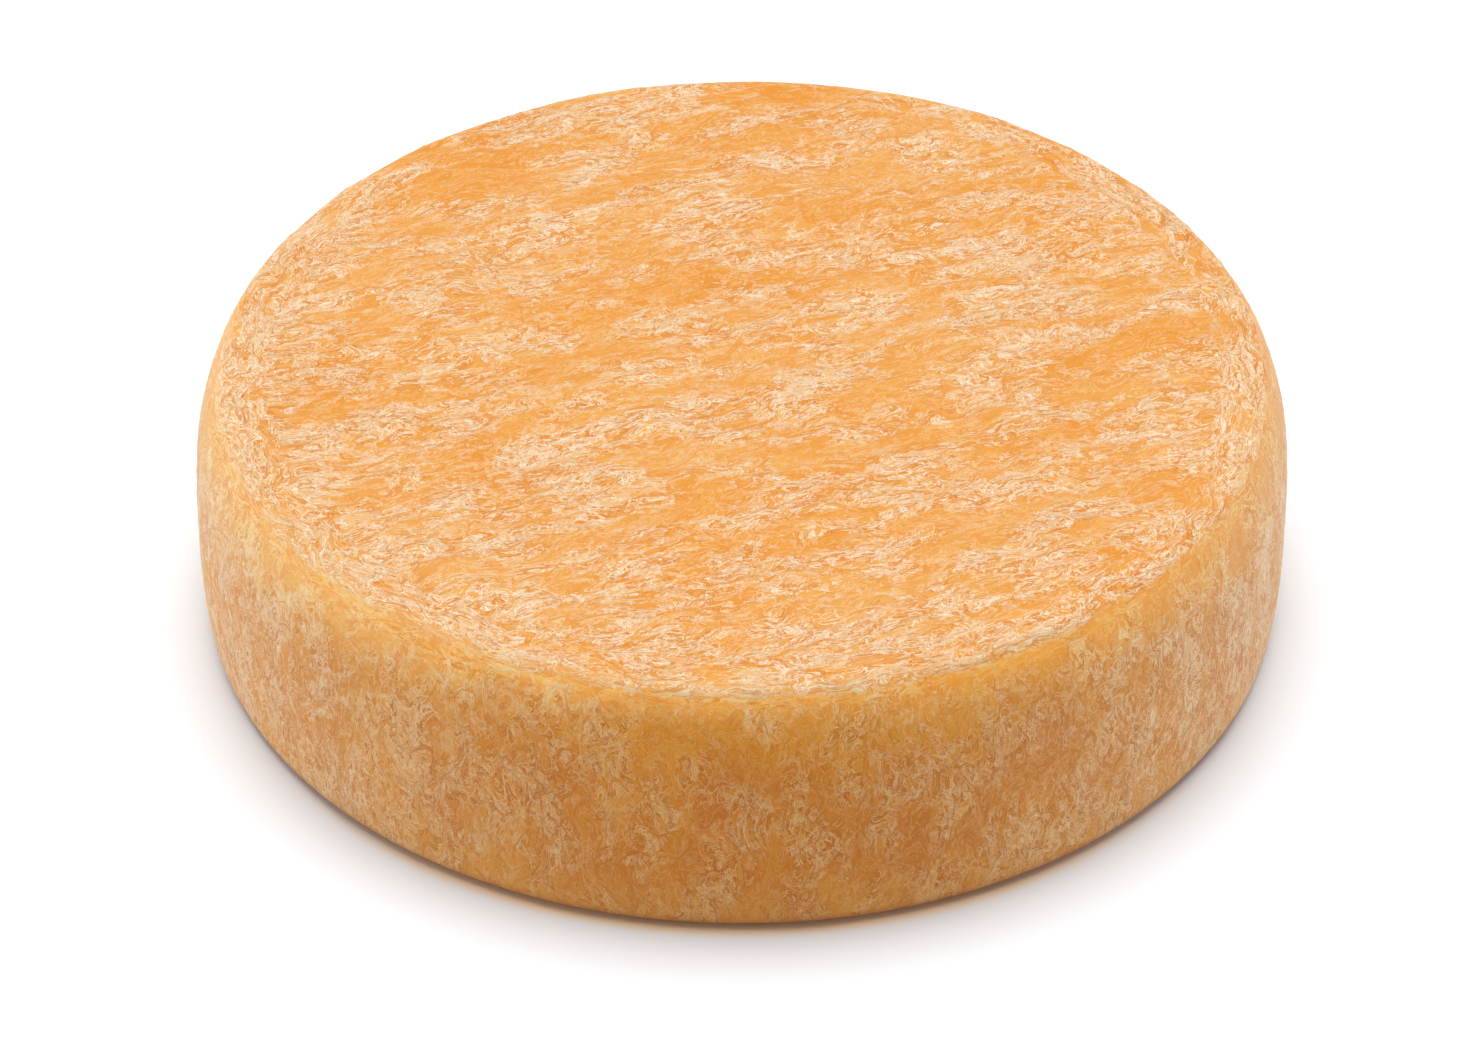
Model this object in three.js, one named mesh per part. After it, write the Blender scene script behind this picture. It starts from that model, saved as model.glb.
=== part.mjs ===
// A whole round wheel of semi-hard mountain cheese with a washed, orange rind, as it comes off the ripening shelf.
// It is one pressed body of curd, so it is one solid. Millimetres, +Z up, origin at the centre of its underside.
import * as THREE from 'three';

// Driving dimensions
const RADIUS = 160; // widest radius of the side
const HEIGHT = 79.4; // thickness, from the shelf to the top face
const WIDEST_HEIGHT = 27; // the paste settles, so the side is widest below its middle
const DRAW_IN = { above: 2.0, below: 2.0 }; // how much the side draws in towards the top face and the shelf
const SHOULDER = { inward: 9.1, drop: 32 }; // quarter ellipse, steep below and tight at the top face
const FOOT = { inward: 5.5, rise: 3.2 }; // short round where the wheel lies on its shelf
const TOP_RING_RADII = [122, 88, 48]; // rings across the top face, from the shoulder to the middle
const UNDER_RING_RADII = [50, 100]; // rings across the underside
const SEGMENTS = 96; // facets round the wheel
const SIDE_STEPS = 7;
const SHOULDER_STEPS = 8;
const FOOT_STEPS = 4;

// Slight unevenness of a hand-turned wheel. Even lobes keep its middle over the origin.
const OVALITY = { twoLobes: 0.5, fourLobes: 0.25 };
const TOP_DISH = { depth: 0.7, swell: 0.45, waves: 3 };

// The side's radius at a height, before its shoulder and foot are rounded off.
function sideRadius(z) {
  const above = z > WIDEST_HEIGHT;
  const reach = above ? (z - WIDEST_HEIGHT) / (HEIGHT - WIDEST_HEIGHT) : 1 - z / WIDEST_HEIGHT;
  return RADIUS - (above ? DRAW_IN.above : DRAW_IN.below) * reach * reach;
}

// Half section from the middle of the underside, round the side, to the middle of the top.
function halfSection() {
  const points = [new THREE.Vector2(0, 0)];
  const add = (r, z) => points.push(new THREE.Vector2(r, z));
  UNDER_RING_RADII.forEach((r) => add(r, 0));

  for (let i = 0; i < FOOT_STEPS; i += 1) {
    const angle = (Math.PI / 2) * (i / FOOT_STEPS);
    const z = FOOT.rise * (1 - Math.cos(angle));
    add(sideRadius(z) - FOOT.inward * (1 - Math.sin(angle)), z);
  }

  const shoulderStart = HEIGHT - SHOULDER.drop;
  for (let i = 0; i <= SIDE_STEPS; i += 1) {
    const z = FOOT.rise + (shoulderStart - FOOT.rise) * (i / SIDE_STEPS);
    add(sideRadius(z), z);
  }

  for (let i = 1; i <= SHOULDER_STEPS; i += 1) {
    const angle = (Math.PI / 2) * (i / SHOULDER_STEPS);
    const z = shoulderStart + SHOULDER.drop * Math.sin(angle);
    add(sideRadius(z) - SHOULDER.inward * (1 - Math.cos(angle)), z);
  }

  TOP_RING_RADII.forEach((r) => add(r, HEIGHT));
  add(0, HEIGHT);
  return points;
}

// Moves each vertex a little: the side is slightly oval, and the top face is faintly dished and uneven.
function addUnevenness(geometry) {
  const position = geometry.attributes.position;
  for (let i = 0; i < position.count; i += 1) {
    const x = position.getX(i);
    const y = position.getY(i);
    const z = position.getZ(i);
    const radius = Math.hypot(x, y);
    const angle = Math.atan2(y, x);
    const reach = radius / RADIUS;

    const lobes = OVALITY.twoLobes * Math.sin(2 * angle)
      + OVALITY.fourLobes * Math.cos(4 * angle);
    const widen = 1 + (lobes * reach * reach) / RADIUS;

    const dish = TOP_DISH.depth * Math.max(0, 1 - reach * reach);
    const swell = TOP_DISH.swell * reach * reach * (Math.cos(TOP_DISH.waves * angle) - 1);
    const fall = (swell - dish) * (z / HEIGHT) ** 4;
    position.setXYZ(i, x * widen, y * widen, z + fall);
  }
}

function wheelGeometry() {
  const geometry = new THREE.LatheGeometry(halfSection(), SEGMENTS);
  geometry.rotateX(Math.PI / 2); // the lathe turns about Y; the wheel stands on Z
  addUnevenness(geometry);
  geometry.computeVertexNormals();
  return geometry;
}

const rind = new THREE.MeshStandardMaterial({ color: 0xe3a567, roughness: 0.6, metalness: 0 });

const wheel = new THREE.Mesh(wheelGeometry(), rind);
wheel.name = 'cheese_wheel';

const cheese = new THREE.Group();
cheese.add(wheel);

export default cheese;
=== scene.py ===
import math

import bpy
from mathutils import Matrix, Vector


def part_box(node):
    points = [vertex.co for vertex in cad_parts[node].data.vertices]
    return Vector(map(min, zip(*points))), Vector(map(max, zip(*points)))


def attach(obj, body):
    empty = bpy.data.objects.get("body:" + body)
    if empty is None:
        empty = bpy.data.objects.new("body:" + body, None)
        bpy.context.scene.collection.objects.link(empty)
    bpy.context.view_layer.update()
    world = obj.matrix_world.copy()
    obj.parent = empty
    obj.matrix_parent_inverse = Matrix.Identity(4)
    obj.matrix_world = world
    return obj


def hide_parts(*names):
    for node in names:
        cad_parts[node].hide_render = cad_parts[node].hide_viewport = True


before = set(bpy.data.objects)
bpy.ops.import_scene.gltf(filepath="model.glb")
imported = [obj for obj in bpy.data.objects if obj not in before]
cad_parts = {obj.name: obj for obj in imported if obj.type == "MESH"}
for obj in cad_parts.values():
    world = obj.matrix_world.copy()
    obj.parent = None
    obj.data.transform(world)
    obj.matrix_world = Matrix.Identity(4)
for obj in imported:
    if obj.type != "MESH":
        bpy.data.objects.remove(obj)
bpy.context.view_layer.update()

# Driving dimensions, in metres
MM = 0.001
RADIUS = 160 * MM  # widest radius of the side
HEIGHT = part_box("cheese_wheel")[1].z  # thickness of the wheel
WIDEST_HEIGHT = 0.34 * HEIGHT  # the paste settles, so the side is widest below its middle
DRAW_IN_ABOVE, DRAW_IN_BELOW = 2.0 * MM, 2.0 * MM  # how much the side draws in towards top and floor
SHOULDER_IN, SHOULDER_DROP = 9.1 * MM, 32 * MM  # quarter ellipse, tight at the top face
FOOT_IN, FOOT_RISE = 5.5 * MM, 3.2 * MM  # short round where the wheel lies on the floor
AROUND = 192  # cage quads round the wheel, a multiple of four for the grid that closes the top
CAGE_STEP = 5.9 * MM  # about how far apart the cage's rings lie, up the side and the shoulder
FINE_LEVELS = 2  # each level splits a quad in four
UNDER_RINGS = [r * MM for r in (142, 122, 98, 72, 44, 16)]  # rings across the flat underside

# The rind's patterns are worked out in millimetres, so that sizes read as the rind's own
WIDE, TALL = RADIUS / MM, HEIGHT / MM
BRUSHING = math.radians(19)  # the top is brushed this far anticlockwise of x, seen from above
DRAIN_LEAN = 0.4  # how far a run at the far left or right leans in, for each unit that it falls
TOP_STARTS, TOP_FULL = 77.0, 78.6  # heights over which the golden band gives way to the top
SIDE_STARTS, SIDE_FULL = 79.0, 68.0  # heights over which it gives way to the side, at mid front
SHOULDER_FLOW = 75.0  # height above which marks follow the rim or the brushing, and no longer run down
RIM_FLOW = 138.0  # distance from the middle past which the top's marks follow the rim
FLAKE_LEVEL = 0.565  # how high the flake noise has to stand for the pale film to show
# Ovals on the top face, as x, y, half length and half width
PALE_PATCHES = [(-79, 41, 14, 7), (-53, -41, 17, 13), (71, 61, 20, 7), (112, 78, 24, 11),
                (34, 6, 22, 8), (11, -17, 34, 10), (41, -62, 13, 11), (-103, -25, 12, 14),
                (-43, 109, 10, 10), (54, 106, 16, 12), (-59, -111, 18, 10), (77, 39, 24, 7)]
BARE_PATCHES = [(-93, 99, 46, 30), (-33, 33, 44, 13), (10, 143, 34, 10),
                (105, 0, 36, 12), (28, 78, 24, 10)]

# The studio
FLOOR_SIZE, FLOOR_GAP = 12, 0.2 * MM  # the floor lies a hair lower, so that it shares no plane
LIGHT_ON_TOP = 1.45  # light on a level face, which every paint of the rind is divided by
LAMP_LIGHT = 1.035  # the overhead lamp's share of it, before its tilt
DOME_LIGHT = 0.26  # the dome's own light, before the glow low down
CAMERA_ANGLE = math.radians(37.48)  # how far the camera stands above the floor, seen from the wheel
CAMERA_DISTANCE, CAMERA_AIM = 10 * RADIUS, 0.112 * RADIUS  # it aims at this height on the axis
LENS, SENSOR = 130.8, 36  # a long lens, in millimetres


class Value:
    """A node socket that takes part in Python expressions, each of which adds its Math node."""

    def __init__(self, nodes, socket):
        self.nodes, self.socket = nodes, socket

    def maths(self, operation, *others):
        """One Math node, or a Vector Math node where a vector or a colour takes part."""
        terms = (self,) + others
        vector = any(isinstance(t, Value) and t.socket.type in ("VECTOR", "RGBA") for t in terms)
        kind = "ShaderNodeVectorMath" if vector else "ShaderNodeMath"
        return self.nodes.add(kind, {"operation": operation}, dict(enumerate(terms)))

    def __add__(self, other):
        return self.maths("ADD", other)

    __radd__ = __add__

    def __sub__(self, other):
        return self.maths("SUBTRACT", other)

    def __rsub__(self, other):
        return self * -1 + other

    def __mul__(self, other):
        return self.maths("MULTIPLY", other)

    __rmul__ = __mul__

    def __truediv__(self, other):
        return self.maths("DIVIDE", other)

    def __pow__(self, other):
        return self.maths("POWER", other)

    def __abs__(self):
        return self.maths("ABSOLUTE")

    def __gt__(self, other):
        return self.maths("GREATER_THAN", other)


class Nodes:
    """Adds nodes to one tree: a material's, the world's or a Geometry Nodes modifier's."""

    def __init__(self, tree):
        self.tree = tree
        tree.nodes.clear()

    def add(self, kind, settings=None, inputs=None, out=0):
        """A node of any type: its settings first, then the values or links of its sockets."""
        node = self.tree.nodes.new(kind)
        for name, setting in (settings or {}).items():
            setattr(node, name, setting)
        for key, given in (inputs or {}).items():
            socket = node.inputs[key]
            if isinstance(given, Value):
                self.tree.links.new(given.socket, socket)
            elif socket.type == "VECTOR" and isinstance(given, (int, float)):
                socket.default_value = (given, given, given)
            else:
                socket.default_value = given
        return None if out is None else Value(self, node.outputs[out])

    def parts(self, vector):
        """A vector's x, y and z."""
        split = self.add("ShaderNodeSeparateXYZ", None, {0: vector}).socket.node
        return [Value(self, socket) for socket in split.outputs]

    def vector(self, x, y, z):
        return self.add("ShaderNodeCombineXYZ", None, {0: x, 1: y, 2: z})

    def noise(self, at, size, detail=2.0, roughness=0.5, distortion=0.0, out=0):
        """Fractal noise from 0 to 1. size is the width of its largest lumps, in the unit of at.

        out=1 gives three noises at once, as a colour.
        """
        return self.add("ShaderNodeTexNoise", None, {
            "Vector": at, "Scale": 1 / size, "Detail": detail, "Roughness": roughness,
            "Distortion": distortion}, out)

    def drift(self, at, size, amount, detail=1.0):
        """at, moved about by up to half of amount, so that straight patterns wander and curl."""
        return at + (self.noise(at, size, detail, out=1) - 0.5) * amount

    def rise(self, value, low, high):
        """0 below low, 1 above high, and a smooth step between. low may be the higher one."""
        return self.add("ShaderNodeMapRange", {"interpolation_type": "SMOOTHSTEP"}, {
            "Value": value, "From Min": low, "From Max": high, "To Min": 0.0, "To Max": 1.0})

    def line(self, value, level, width):
        """1 along the line where value crosses level, fading out over width."""
        return self.rise(abs(value - level), width, 0.0)

    def choose(self, test, vector_a, vector_b):
        """Vector a where test is 0, vector b where it is 1."""
        return self.add("ShaderNodeMix", {"data_type": "VECTOR"}, {
            0: test, 4: vector_a, 5: vector_b}, out=1)

    def mix(self, factor, colour_a, colour_b):
        """Colour a where factor is 0, colour b where it is 1."""
        return self.add("ShaderNodeMix", {"data_type": "RGBA"}, {
            0: factor, 6: colour_a, 7: colour_b}, out=2)

    def coats(self, colour, *coats):
        """Coats of paint over a colour, the lowest first, each given as how much of it and its paint."""
        for amount, coat in coats:
            colour = self.mix(amount, colour, coat)
        return colour


# The wheel's shape

def side_radius(z):
    """The side's radius at a height, before its shoulder and foot are rounded off."""
    if z > WIDEST_HEIGHT:
        return RADIUS - DRAW_IN_ABOVE * ((z - WIDEST_HEIGHT) / (HEIGHT - WIDEST_HEIGHT)) ** 2
    return RADIUS - DRAW_IN_BELOW * (1 - z / WIDEST_HEIGHT) ** 2


def half_section():
    """(radius, height) of each cage ring, from the edge of the flat underside to that of the flat top."""
    def foot(angle):
        z = FOOT_RISE * (1 - math.cos(angle))
        return side_radius(z) - FOOT_IN * (1 - math.sin(angle)), z

    def shoulder(angle):
        z = HEIGHT - SHOULDER_DROP * (1 - math.sin(angle))
        return side_radius(z) - SHOULDER_IN * (1 - math.cos(angle)), z

    quarter = math.pi / 2
    shoulder_foot = HEIGHT - SHOULDER_DROP
    side_steps = round((shoulder_foot - FOOT_RISE) / CAGE_STEP)
    shoulder_steps = round(math.hypot(SHOULDER_IN, SHOULDER_DROP) / CAGE_STEP) + 1
    rings = [foot(quarter * i / 2) for i in range(2)]
    for i in range(side_steps + 1):
        z = FOOT_RISE + (shoulder_foot - FOOT_RISE) * i / side_steps
        rings.append((side_radius(z), z))
    rings += [shoulder(quarter * (i / shoulder_steps)) for i in range(1, shoulder_steps + 1)]
    return rings


def ring_up(r0, z0, r1, z1):
    """Draws the selected ring of edges from one radius and height to the next."""
    bpy.ops.mesh.extrude_edges_move(TRANSFORM_OT_translate={"value": (0, 0, z1 - z0)})
    bpy.ops.transform.resize(value=(r1 / r0, r1 / r0, 1), center_override=(0, 0, z1))


def wheel_cage():
    """A ring drawn up along the half section and closed above by a grid of quads, still open below."""
    rings = half_section()
    bpy.ops.object.select_all(action="DESELECT")
    bpy.ops.mesh.primitive_circle_add(vertices=AROUND, radius=rings[0][0], fill_type="NOTHING")
    wheel = bpy.context.object
    wheel.name = "whole_wheel"
    bpy.ops.object.mode_set(mode="EDIT")
    bpy.ops.mesh.select_mode(type="EDGE")
    bpy.ops.mesh.select_all(action="SELECT")
    for lower, upper in zip(rings, rings[1:]):
        ring_up(*lower, *upper)
    bpy.ops.mesh.fill_grid(span=AROUND // 4)
    bpy.ops.object.mode_set(mode="OBJECT")
    return wheel


def subdivide(piece, levels):
    """Rounds the cage off into fine quads."""
    modifier = piece.modifiers.new("fine_quads", "SUBSURF")
    modifier.levels = modifier.render_levels = levels
    bpy.ops.object.modifier_apply(modifier=modifier.name)


def close_underside():
    """Flat underside: a coarser ring bridged to the rim, then rings in to a fan at the middle."""
    bpy.ops.object.mode_set(mode="EDIT")
    bpy.ops.mesh.select_all(action="DESELECT")
    bpy.ops.mesh.primitive_circle_add(vertices=AROUND, radius=UNDER_RINGS[0], fill_type="NOTHING")
    bpy.ops.mesh.select_all(action="DESELECT")
    bpy.ops.mesh.select_non_manifold()
    bpy.ops.mesh.bridge_edge_loops()
    bpy.ops.mesh.select_all(action="DESELECT")
    bpy.ops.mesh.select_non_manifold()
    for outer, inner in zip(UNDER_RINGS, UNDER_RINGS[1:]):
        ring_up(outer, 0, inner, 0)
    bpy.ops.mesh.edge_face_add()
    bpy.ops.mesh.poke()
    bpy.ops.mesh.select_all(action="SELECT")
    bpy.ops.mesh.normals_make_consistent(inside=False)
    bpy.ops.object.mode_set(mode="OBJECT")


# The rind's patterns, in millimetres

def from_axis(x, y):
    """The distance from the wheel's axis."""
    return (x ** 2 + y ** 2) ** 0.5


def brushed(n, place, along):
    """place turned to the way the top was brushed, and squeezed that way so patterns grow long."""
    x, y, z = n.parts(place)
    cosine, sine = math.cos(BRUSHING), math.sin(BRUSHING)
    return n.vector((x * cosine + y * sine) / along, y * cosine - x * sine, z)


def draining(n, place, along):
    """place on the side, squeezed upright and spread downwards, so patterns run down and lean in."""
    x, y, z = n.parts(place)
    spread = 1 + (TALL - z) * (DRAIN_LEAN / WIDE)
    return n.vector(x * spread, y * spread, z / along)


def along_rim(n, place, along):
    """place near the rim, squeezed level but not outwards, so that patterns follow the rim round."""
    x, y, z = n.parts(place)
    return n.vector(x / along, y / along, from_axis(x, y) - z)


def patches(n, place, ovals):
    """Soft ovals that lie the way of the brushing, each 1 in its middle and 0 at its edge."""
    total = 0.0
    for x, y, half_length, half_width in ovals:
        away = n.vector(-x, -y, -TALL) + place
        u, v = n.parts(brushed(n, away, half_length / half_width))[:2]
        total = n.rise(from_axis(u, v), half_width, half_width * 0.2) + total
    return total


def cover_on_top(n, place, pale, bare, streak):
    """How much more or less film the top carries: more along its lip, less at the far side."""
    x, y = n.parts(place)[:2]
    lip = n.rise(from_axis(x, y) - x * 0.05, 128, 147)
    far = n.rise(y, 20, 140)
    return pale * 0.14 - bare * 0.14 + (streak - 0.5) * 0.22 + lip * 0.1 - far * 0.04


def cover_on_side(n, place, aside):
    """How much more or less film the side carries: in runs down it, and more to the left and right."""
    runs = n.noise(draining(n, n.drift(place, 24, 6, 1), 12), 10, 2, 0.5) - 0.5
    return runs * 0.3 + (aside - 0.3) * 0.1


def broad_patterns(n, place):
    """What varies slowly enough to be kept on the mesh: directions, cover, tone and zones."""
    x, y, z = n.parts(place)
    wandering = n.drift(place, 30, 16, 2)
    top_flow = brushed(n, wandering, 2.4)
    side_flow = draining(n, n.drift(place, 18, 9, 2), 2.0) * 0.85
    rim_flow = along_rim(n, n.drift(place, 22, 9, 2), 2.4)
    on_top = z > TOP_STARTS
    flow = n.choose(on_top, side_flow, top_flow)
    bare = patches(n, wandering, BARE_PATCHES)
    pale = patches(n, wandering, PALE_PATCHES)
    streak = n.noise(brushed(n, n.drift(place, 40, 10), 9), 6.5, 2, 0.5)
    aside = (x * (1 / WIDE)) ** 2
    at_rim = n.rise(from_axis(x, y), 130, 142) * on_top
    cloud = n.noise(flow, 11, 4, 0.62) * (1 - at_rim) + n.noise(rim_flow, 11, 4, 0.62) * at_rim
    laid_on_top = cover_on_top(n, place, pale, bare, streak) * on_top
    cover = cloud + laid_on_top + cover_on_side(n, place, aside) * (1 - on_top)
    tone = n.noise(flow, 34, 3, 0.55)
    lower = z + (n.noise(place, 16, 2) - 0.5) * 9
    return {
        "rest_place": place * MM, "top_flow": top_flow, "rim_flow": rim_flow, "side_flow": side_flow,
        "rind_tones": n.vector(cover, tone, bare), "rind_zones": n.vector(lower, aside, streak)}


def fine_patterns(n, kept):
    """The flakes and zones that both relief and colour follow, from the broad patterns."""
    place = kept["rest_place"] * (1 / MM)
    cover, tone, bare = n.parts(kept["rind_tones"])
    lower, aside, streak = n.parts(kept["rind_zones"])
    x, y, z = n.parts(place)
    ragged = n.noise(place, 8, 4, 0.68) - 0.5
    up = z + ragged * 3.2
    lower = lower + ragged * 5
    top = n.rise(up, TOP_STARTS, TOP_FULL)
    side = n.rise(lower + aside * 8, SIDE_STARTS, SIDE_FULL - aside * 14)
    past_rim = from_axis(x, y) + ragged * 14 > RIM_FLOW
    top_flow = n.choose(past_rim, kept["top_flow"], kept["rim_flow"])
    flow = n.choose(up > SHOULDER_FLOW, kept["side_flow"], top_flow)
    flakes = n.noise(flow, 4.2, 4, 0.64, 1.5) + (cover - 0.5) * 0.36
    return {
        "place": place, "flow": flow, "cover": cover, "tone": tone, "bare": bare, "streak": streak,
        "aside": aside, "top": top, "side": side, "band": (1 - top) * (1 - side),
        "golden": n.rise(lower, 50.0, 77.0), "flakes": flakes,
        "film": n.rise(flakes, FLAKE_LEVEL, 0.63)}


def out_of_true(n, place):
    """How far a point moves, as the wheel leans out at its back right and in at its back left.

    The lean grows towards the top edge, where it comes to 0.7 mm.
    """
    x, y, z = n.parts(place)
    lean = (x * y) * (y + WIDE) * z * (1.0 / (WIDE ** 3 * TALL))
    return n.vector(x, y, 0.0) * (lean * (1 / WIDE))


def relief_nodes(tree):
    """Keeps the broad patterns on the smooth wheel, then raises its flakes and ridges."""
    n = Nodes(tree)
    shape = n.add("NodeGroupInput")
    kept = broad_patterns(n, n.add("GeometryNodeInputPosition") * (1 / MM))
    for name, value in kept.items():
        shape = n.add("GeometryNodeStoreNamedAttribute", {"data_type": "FLOAT_VECTOR", "domain": "POINT"}, {
            "Geometry": shape, "Name": name, "Value": value})
    p = fine_patterns(n, kept)
    ridge = n.rise(p["streak"], 0.5, 0.68)
    swell = n.noise(p["place"], 42, 2) - 0.5
    height = swell * 1.6 + p["film"] * 0.12 + ridge * p["top"] * 0.3 + p["top"] * 0.25
    off_floor = n.rise(n.parts(p["place"])[2], 1.0, 9.0)
    normal = n.add("GeometryNodeInputNormal")
    offset = normal * (height * off_floor * MM) + out_of_true(n, p["place"]) * MM
    moved = n.add("GeometryNodeSetPosition", None, {"Geometry": shape, "Offset": offset})
    n.add("NodeGroupOutput", None, {0: moved}, out=None)


def raise_rind(wheel):
    """Applies the relief as a Geometry Nodes modifier."""
    tree = bpy.data.node_groups.new("rind_relief", "GeometryNodeTree")
    tree.interface.new_socket("Geometry", in_out="INPUT", socket_type="NodeSocketGeometry")
    tree.interface.new_socket("Geometry", in_out="OUTPUT", socket_type="NodeSocketGeometry")
    relief_nodes(tree)
    modifier = wheel.modifiers.new("rind_relief", "NODES")
    modifier.node_group = tree
    bpy.context.view_layer.objects.active = wheel
    bpy.ops.object.modifier_apply(modifier=modifier.name)


# Materials

def paint(red, green, blue):
    """The linear colour that shows as these display values out of 255 on a level face in the studio.

    A face that is turned from the lamp may go past 255, and its paint is still below full white.
    """
    def linear(value):
        value /= 255
        return value / 12.92 if value <= 0.04045 else ((value + 0.055) / 1.055) ** 2.4
    return tuple(linear(v) / LIGHT_ON_TOP for v in (red, green, blue)) + (1,)


def new_material(name):
    material = bpy.data.materials.new(name)
    material.use_nodes = True
    return material, Nodes(material.node_tree)


def floor_material():
    """Plain white studio sweep, with painted shadow a little darker close in front of the wheel, and
    painted warm bounce light at its foot.
    """
    material, n = new_material("white_sweep")
    white, painted_shadow, painted_bounce_light = (0.78, 0.8, 0.83, 1), (0.69, 0.71, 0.74, 1), (0.84, 0.66, 0.45, 1)
    x, y = n.parts(n.add("ShaderNodeTexCoord", out="Object"))[:2]
    away = (from_axis(x, y) - RADIUS) * (1 / MM)
    in_front = n.rise(y, -0.3 * RADIUS, -0.9 * RADIUS)
    close_in_front = n.rise(y, -0.5 * RADIUS, -0.95 * RADIUS)
    # Painted shadow close in front of the wheel, then painted warm bounce light from the wheel at its foot
    colour = n.coats(
        white,
        (n.rise(away, 14.0, -2.0) * in_front * 0.5, painted_shadow),
        (n.rise(away, 3.0, -2.0) ** 2 * close_in_front, painted_bounce_light))
    shader = n.add("ShaderNodeBsdfPrincipled", None, {
        "Base Color": colour, "Roughness": 0.9, "Specular IOR Level": 0.1})
    n.add("ShaderNodeOutputMaterial", None, {"Surface": shader}, out=None)
    return material


def rind_marks(n, p):
    """The finer marks that colour and bump follow, added to the patterns."""
    x, y, z = n.parts(p["place"])
    warm = n.rise(n.noise(p["flow"], 4, 4, 0.65, 0.5), 0.4, 0.65)
    curl = n.noise(p["flow"], 4.0, 4, 0.66, 1.9)
    # Curls show a little everywhere, and fully where the rind is covered
    everywhere = 0.3 + p["side"] * (0.08 + p["aside"] * 0.3)
    laid = everywhere + n.rise(p["cover"], 0.39, 0.59) * (1 - everywhere)
    # Ridges show most towards the back right, and the rim's pale edge at the front left, partly pale
    # strokes and partly a painted highlight
    raked = (0.25 + n.rise(x * 0.6 + y, 20, 80) * 0.5) * warm
    pale_crest_and_highlight = n.rise(from_axis(x, y), 145, 150) * n.rise(x * 0.7 + y, -40, -180)
    return {
        **p, "x": x, "z": z, "warm": warm, "pale_crest_and_highlight": pale_crest_and_highlight,
        "pale_curl": n.line(curl, 0.53, 0.034) * laid,
        "dark_curl": n.line(curl, 0.455, 0.04) * laid,
        "pale_ridge": n.line(p["streak"], 0.56, 0.022) * raked,
        # Painted shadow along the lower flank of each raised ridge
        "painted_ridge_shadow": n.line(p["streak"], 0.525, 0.02) * raked,
        "flake_edge": n.line(p["flakes"], FLAKE_LEVEL, 0.03) * laid,
        "grain": n.noise(p["place"], 0.8, 2, 0.6),
        "haze": n.rise(p["cover"], 0.4, 0.7)}


def top_colour(n, p):
    """Orange under a hazy film, with pale and dark curls, flake edges, brushed ridges with painted shadow
    along one side, and a painted highlight on the rim at the front left.
    """
    paler = n.rise(p["tone"] - p["bare"] * 0.4, 0.3, 0.65)
    return n.coats(
        n.mix(paler, paint(241, 156, 44), paint(243, 169, 76)),
        (p["warm"] * 0.3, paint(247, 190, 98)),
        (p["haze"] * 0.25, paint(243, 193, 130)),
        (p["film"] * 0.4, paint(247, 212, 166)),
        (p["dark_curl"] * 0.9, paint(220, 122, 24)),
        (p["flake_edge"] * 0.85, paint(254, 236, 206)),
        (p["pale_curl"], paint(255, 242, 216)),
        # painted shadow beside the ridges
        (p["painted_ridge_shadow"] * 0.7, paint(226, 134, 44)),
        (p["pale_ridge"] * 0.8, paint(254, 236, 206)),
        # the rim's pale edge at the front left: pale strokes and a painted highlight
        (p["pale_crest_and_highlight"] * 0.2, paint(252, 218, 156)))


def side_colour(n, p):
    """Browner than the top, golden above, lighter low down to a foot darkened with painted shade, and paler
    left and right, partly pale film and partly painted light.
    """
    aside = p["aside"]
    paler = n.rise(p["tone"], 0.35, 0.65)
    to_left = n.rise(p["x"], 20, -130)
    to_floor = n.rise(p["z"], 26, 4)
    # Painted shade: the foot darkens where the wheel meets the floor
    shaded_foot = n.rise(p["z"], 6, 1)
    haze_paint = n.mix(aside, paint(238, 176, 98), paint(248, 210, 162))
    film_paint = n.mix(aside, paint(242, 188, 114), paint(252, 226, 190))
    dark_paint = n.mix(aside, paint(184, 88, 6), paint(204, 118, 36))
    pale_paint = n.mix(aside, paint(252, 216, 160), paint(255, 238, 210))
    return n.coats(
        n.mix(paler, paint(212, 120, 14), paint(230, 146, 32)),
        (p["warm"] * 0.5, paint(230, 152, 54)),
        (p["golden"] * 0.7, paint(246, 166, 48)),
        # Paler to the left and right: partly pale film, partly painted light where the sides face the light
        # from the left and right
        (aside * 0.4, paint(246, 194, 124)),
        (to_left * 0.3, paint(240, 162, 58)),
        (to_floor * 0.4, paint(252, 182, 84)),
        (p["haze"] * (0.2 + aside * 0.3), haze_paint),
        (p["film"] * (0.35 + aside * 0.2), film_paint),
        (p["dark_curl"] * 0.8, dark_paint),
        (p["flake_edge"] * (0.4 + aside * 0.4), paint(251, 220, 172)),
        (p["pale_curl"] * (0.6 + aside * 0.4), pale_paint),
        # painted shade at the foot
        (shaded_foot * 0.5, paint(176, 84, 14)))


def band_colour(n, p):
    """Bare gold where the shoulder turns over, duller to the left and right."""
    dull = n.mix(n.rise(p["x"], -80, 80), paint(228, 178, 108), paint(222, 170, 108))
    return n.coats(
        n.mix(p["warm"], paint(264, 168, 30), paint(264, 192, 74)),
        (p["aside"] * 0.75, dull),
        # the rim's pale edge at the front left: pale strokes and a painted highlight
        (p["pale_crest_and_highlight"] * (0.12 + p["film"] * 0.25), paint(255, 222, 164)),
        (p["dark_curl"] * 0.7, paint(222, 130, 22)),
        (p["film"] * 0.3 + p["pale_curl"] * 0.7, paint(255, 228, 172)))


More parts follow.
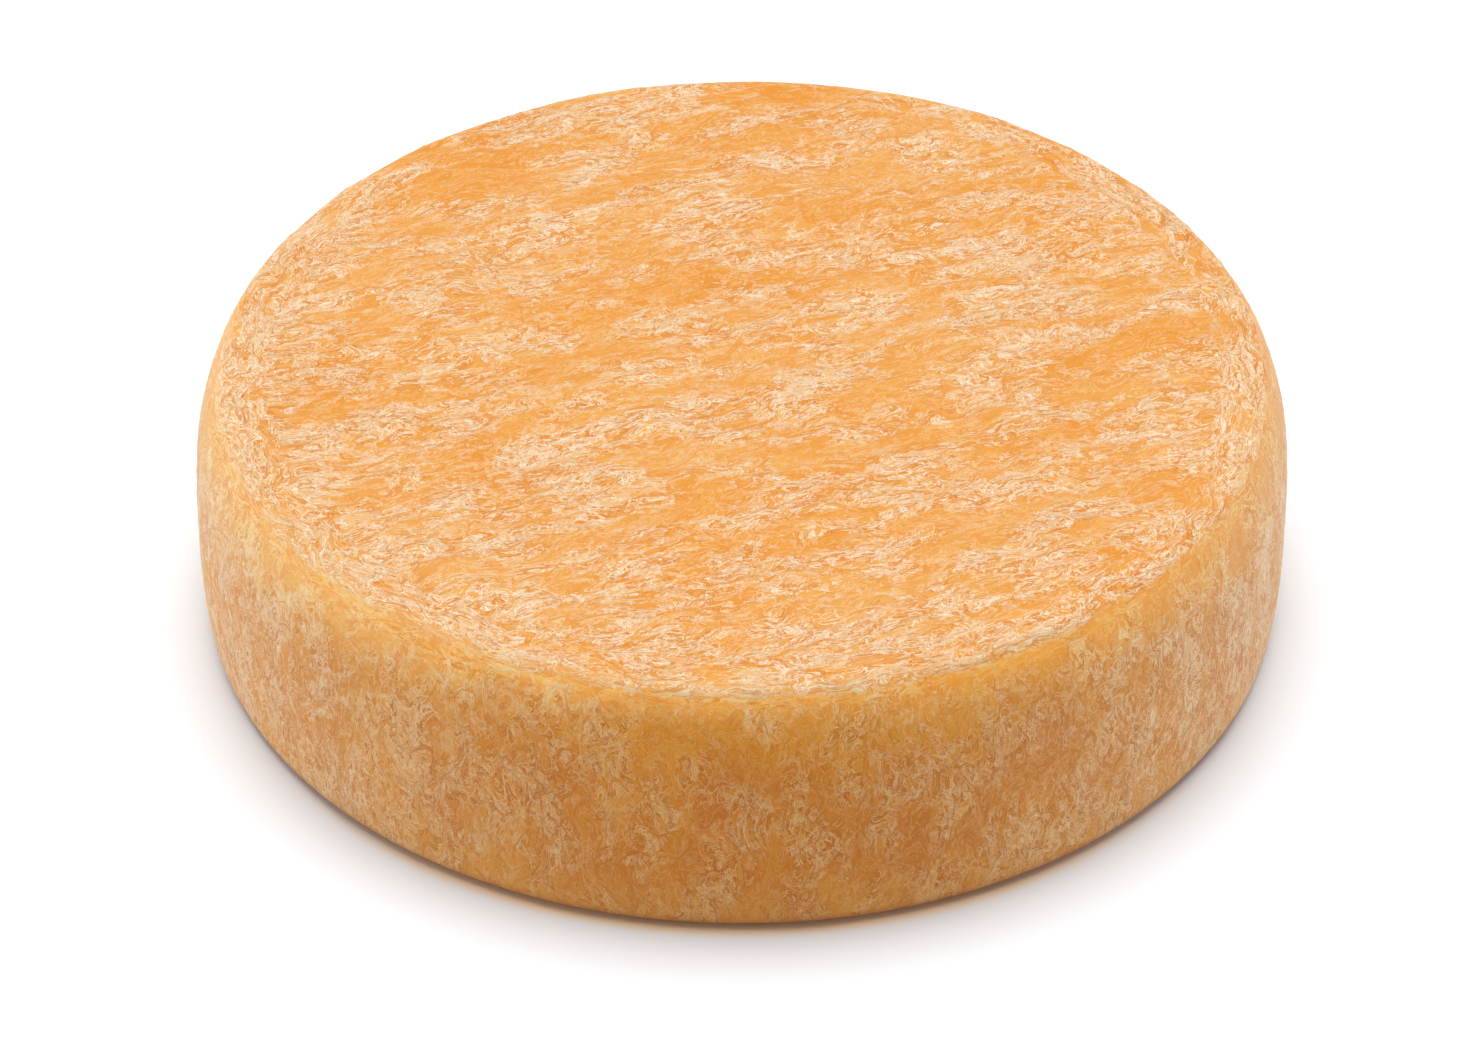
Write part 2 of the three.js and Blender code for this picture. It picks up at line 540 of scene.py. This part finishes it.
def rind_material():
    """Washed rind: orange under pale flaky film, golden on the shoulder, browner on the side."""
    material, n = new_material("rind")
    kept = {}
    for name in ("rest_place", "top_flow", "rim_flow", "side_flow", "rind_tones", "rind_zones"):
        kept[name] = n.add("ShaderNodeAttribute", {"attribute_name": name}, out=1)
    p = rind_marks(n, fine_patterns(n, kept))
    above = n.mix(p["band"], top_colour(n, p), band_colour(n, p))
    specks = n.rise(p["grain"], 0.5, 0.8) * 0.25
    colour = n.coats(above, (p["side"], side_colour(n, p)), (specks, paint(222, 124, 34)))
    curls = (p["pale_curl"] - p["dark_curl"]) * (1 - p["band"] * 0.7)
    height = p["film"] * 0.03 + curls * 0.03 + p["grain"] * 0.04
    bump = n.add("ShaderNodeBump", None, {"Strength": 1.0, "Distance": MM, "Height": height})
    shader = n.add("ShaderNodeBsdfPrincipled", None, {
        "Base Color": colour, "Roughness": 0.62 - p["film"] * 0.1, "Specular IOR Level": 0.2,
        "Sheen Weight": 0.1, "Sheen Roughness": 0.5, "Sheen Tint": (1, 0.93, 0.82, 1), "Normal": bump})
    n.add("ShaderNodeOutputMaterial", None, {"Surface": shader}, out=None)
    return material


# The studio

def studio_floor():
    """A wide floor, just under the wheel."""
    bpy.ops.object.select_all(action="DESELECT")
    bpy.ops.mesh.primitive_plane_add(size=FLOOR_SIZE, location=(0, 0, -FLOOR_GAP))
    floor = bpy.context.object
    floor.name = "studio_floor"
    floor.data.materials.append(floor_material())


def studio_dome():
    """A dim white dome that glows low down, most on the left and right and a little at the back.

    The camera itself sees it as plain white.
    """
    world = bpy.data.worlds.new("studio_dome")
    bpy.context.scene.world = world
    world.use_nodes = True
    n = Nodes(world.node_tree)
    x, y, z = n.parts(n.add("ShaderNodeTexCoord", out="Generated"))
    low = n.rise(abs(z), 0.75, 0.0)
    left_and_right = x ** 4 * low * (4.2 + x * -0.6 + y * 1.2)
    back = n.rise(y, 0.2, 1.0) * low * 0.3
    seen = n.add("ShaderNodeLightPath", out="Is Camera Ray")
    strength = (DOME_LIGHT + left_and_right + back) * (1 - seen) + seen
    glow = n.add("ShaderNodeBackground", None, {"Color": (1, 1, 1, 1), "Strength": strength})
    n.add("ShaderNodeOutputWorld", None, {"Surface": glow}, out=None)


def studio_lamp():
    """A very wide soft lamp overhead, which stands a little behind the wheel."""
    lamp = bpy.data.lights.new("overhead_lamp", "SUN")
    lamp.energy = LAMP_LIGHT * math.pi
    lamp.angle = math.radians(52)
    overhead = bpy.data.objects.new("overhead_lamp", lamp)
    bpy.context.collection.objects.link(overhead)
    overhead.rotation_euler = (math.radians(-7), 0, 0)


def studio_camera():
    """Looks down at the wheel from the front."""
    aim = Vector((0, 0, CAMERA_AIM))
    from_aim = Vector((0, -math.cos(CAMERA_ANGLE), math.sin(CAMERA_ANGLE)))
    data = bpy.data.cameras.new("studio_camera")
    data.lens, data.sensor_width = LENS, SENSOR
    camera = bpy.data.objects.new("studio_camera", data)
    bpy.context.collection.objects.link(camera)
    camera.location = aim + CAMERA_DISTANCE * from_aim
    camera.rotation_euler = (math.pi / 2 - CAMERA_ANGLE, 0, 0)
    bpy.context.scene.camera = camera


bpy.context.scene.view_settings.view_transform = "Standard"
studio_camera()
studio_floor()
studio_dome()
studio_lamp()
wheel = wheel_cage()
subdivide(wheel, FINE_LEVELS)
close_underside()
raise_rind(wheel)
bpy.ops.object.shade_smooth()
wheel.data.materials.append(rind_material())
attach(wheel, "root")
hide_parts("cheese_wheel")
